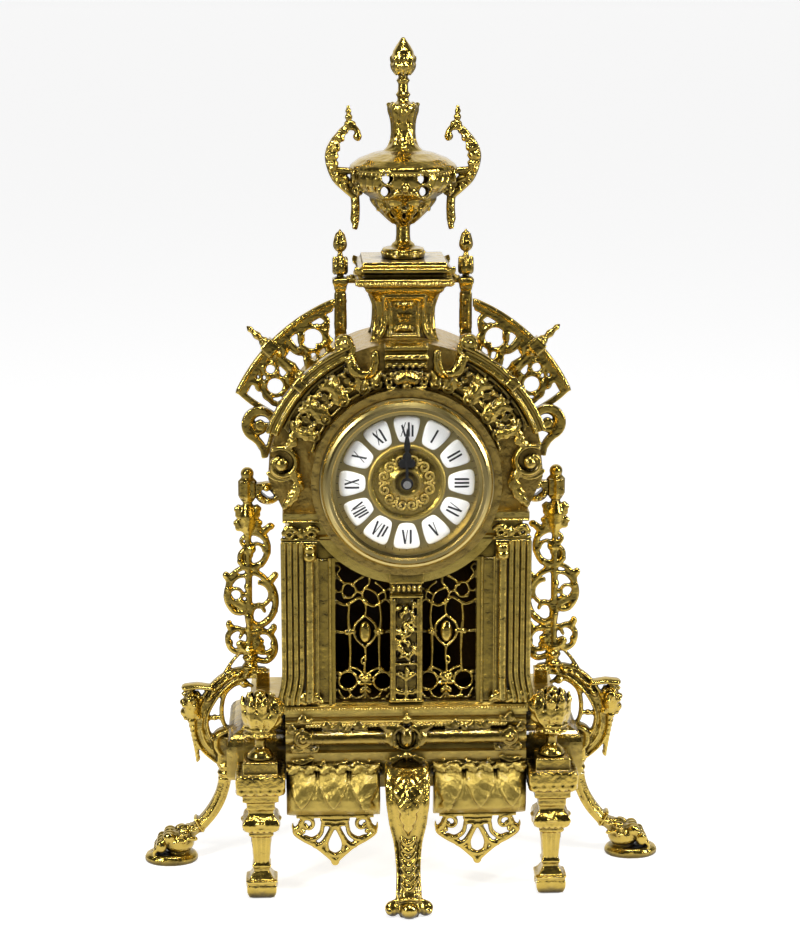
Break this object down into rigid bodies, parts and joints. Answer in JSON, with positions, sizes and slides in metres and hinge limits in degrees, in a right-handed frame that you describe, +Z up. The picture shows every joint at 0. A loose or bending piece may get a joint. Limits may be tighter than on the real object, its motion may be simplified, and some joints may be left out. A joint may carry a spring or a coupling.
{
  "type": "mantel clock",
  "caption": "Ornate footed mantel clock of pierced cast metal: bowed base, pilastered body with grilles, round dial drum under an arched hood, tower with covered urn.",
  "frame": {"origin": "on the table, under the middle of the clock's box", "axes": "+Z up; +X to the viewer's right; the dial faces -Y"},
  "size_m": [0.362, 0.16, 0.5685],
  "materials": {
    "cast_brass": "cast ornament, polished on its high parts and darkly patinated in its recesses",
    "turned_brass": "turned and polished",
    "patinated_brass": "dark lacquered brass",
    "crystal": "clear domed glass",
    "dial_metal": "pale satin gilt",
    "enamel": "glossy white glaze over metal",
    "black_steel": "black",
    "movement_brass": "fine brushed",
    "steel": "polished steel"
  },
  "bodies": {
    "case": {"base_block": "cast_brass", "left_column_leg": "cast_brass", "right_column_leg": "cast_brass", "centre_leg": "cast_brass", "left_paw_bracket": "cast_brass", "right_paw_bracket": "cast_brass", "left_front_panel": "cast_brass", "right_front_panel": "cast_brass", "left_apron": "cast_brass", "right_apron": "cast_brass", "left_vase": "turned_brass", "right_vase": "turned_brass", "body_shell": "cast_brass", "left_pilaster": "cast_brass", "right_pilaster": "cast_brass", "left_grille": "cast_brass", "right_grille": "cast_brass", "centre_pilaster": "cast_brass", "cornice": "cast_brass", "left_spindle": "cast_brass", "right_spindle": "cast_brass", "left_arm": "cast_brass", "right_arm": "cast_brass", "hood": "patinated_brass", "drum": "turned_brass", "left_arch": "cast_brass", "right_arch": "cast_brass", "left_tympanum": "cast_brass", "right_tympanum": "cast_brass", "left_fret": "cast_brass", "right_fret": "cast_brass", "left_ear": "cast_brass", "right_ear": "cast_brass", "crest": "cast_brass", "tower": "cast_brass", "tower_cap": "cast_brass", "left_post": "cast_brass", "right_post": "cast_brass", "urn_bowl": "turned_brass", "urn_lid": "turned_brass", "left_handle": "cast_brass", "right_handle": "cast_brass", "bezel": "turned_brass", "glass": "crystal", "dial_plate": "dial_metal", "cartouches": "enamel", "dial_centre": "cast_brass", "movement_frame": "movement_brass"},
    "minute_works": {"minute_hand": "black_steel", "centre_arbor": "steel"},
    "hour_works": {"hour_hand": "black_steel", "hour_wheel": "movement_brass"},
    "great_wheel": {"barrel": "movement_brass"},
    "third": {"third_wheel": "movement_brass"},
    "escape": {"escape_wheel": "movement_brass"},
    "balance_wheel": {"balance": "movement_brass"},
    "motion_wheel": {"minute_wheel": "movement_brass"},
    "winder": {"barrel_arbor": "steel", "winding_key": "turned_brass"},
    "door": {"back_door": "turned_brass"}
  },
  "joints": [
    {"name": "minute_turn", "type": "hinge", "parent": "case", "child": "minute_works", "pos_m": [0, 0, 0.286], "axis": [0, 1, 0], "continuous": true},
    {"name": "hour_turn", "type": "hinge", "parent": "case", "child": "hour_works", "pos_m": [0, 0, 0.286], "axis": [0, 1, 0], "continuous": true},
    {"name": "motion_turn", "type": "hinge", "parent": "case", "child": "motion_wheel", "pos_m": [-0.0125, 0, 0.286], "axis": [0, 1, 0], "continuous": true},
    {"name": "great_turn", "type": "hinge", "parent": "case", "child": "great_wheel", "pos_m": [-0.0129, 0, 0.26757], "axis": [0, 1, 0], "continuous": true},
    {"name": "third_turn", "type": "hinge", "parent": "case", "child": "third", "pos_m": [0.01434, 0, 0.29604], "axis": [0, 1, 0], "continuous": true},
    {"name": "escape_turn", "type": "hinge", "parent": "case", "child": "escape", "pos_m": [0.0043, 0, 0.31037], "axis": [0, 1, 0], "continuous": true},
    {"name": "balance_swing", "type": "hinge", "parent": "case", "child": "balance_wheel", "pos_m": [-0.009, 0, 0.316], "axis": [0, 1, 0], "range_deg": [-135, 135]},
    {"name": "winder_turn", "type": "hinge", "parent": "case", "child": "winder", "pos_m": [-0.0129, 0, 0.26757], "axis": [0, -1, 0], "continuous": true},
    {"name": "door_swing", "type": "hinge", "parent": "case", "child": "door", "pos_m": [-0.0638, 0.072, 0.286], "axis": [0, 0, 1], "range_deg": [0, 110]}
  ],
  "couplings": [
    {"joint": "hour_turn", "follows": "minute_turn", "ratio": 0.083333},
    {"joint": "motion_turn", "follows": "minute_turn", "ratio": -0.33333},
    {"joint": "great_turn", "follows": "minute_turn", "ratio": -0.125},
    {"joint": "third_turn", "follows": "minute_turn", "ratio": -6},
    {"joint": "escape_turn", "follows": "minute_turn", "ratio": 36}
  ]
}
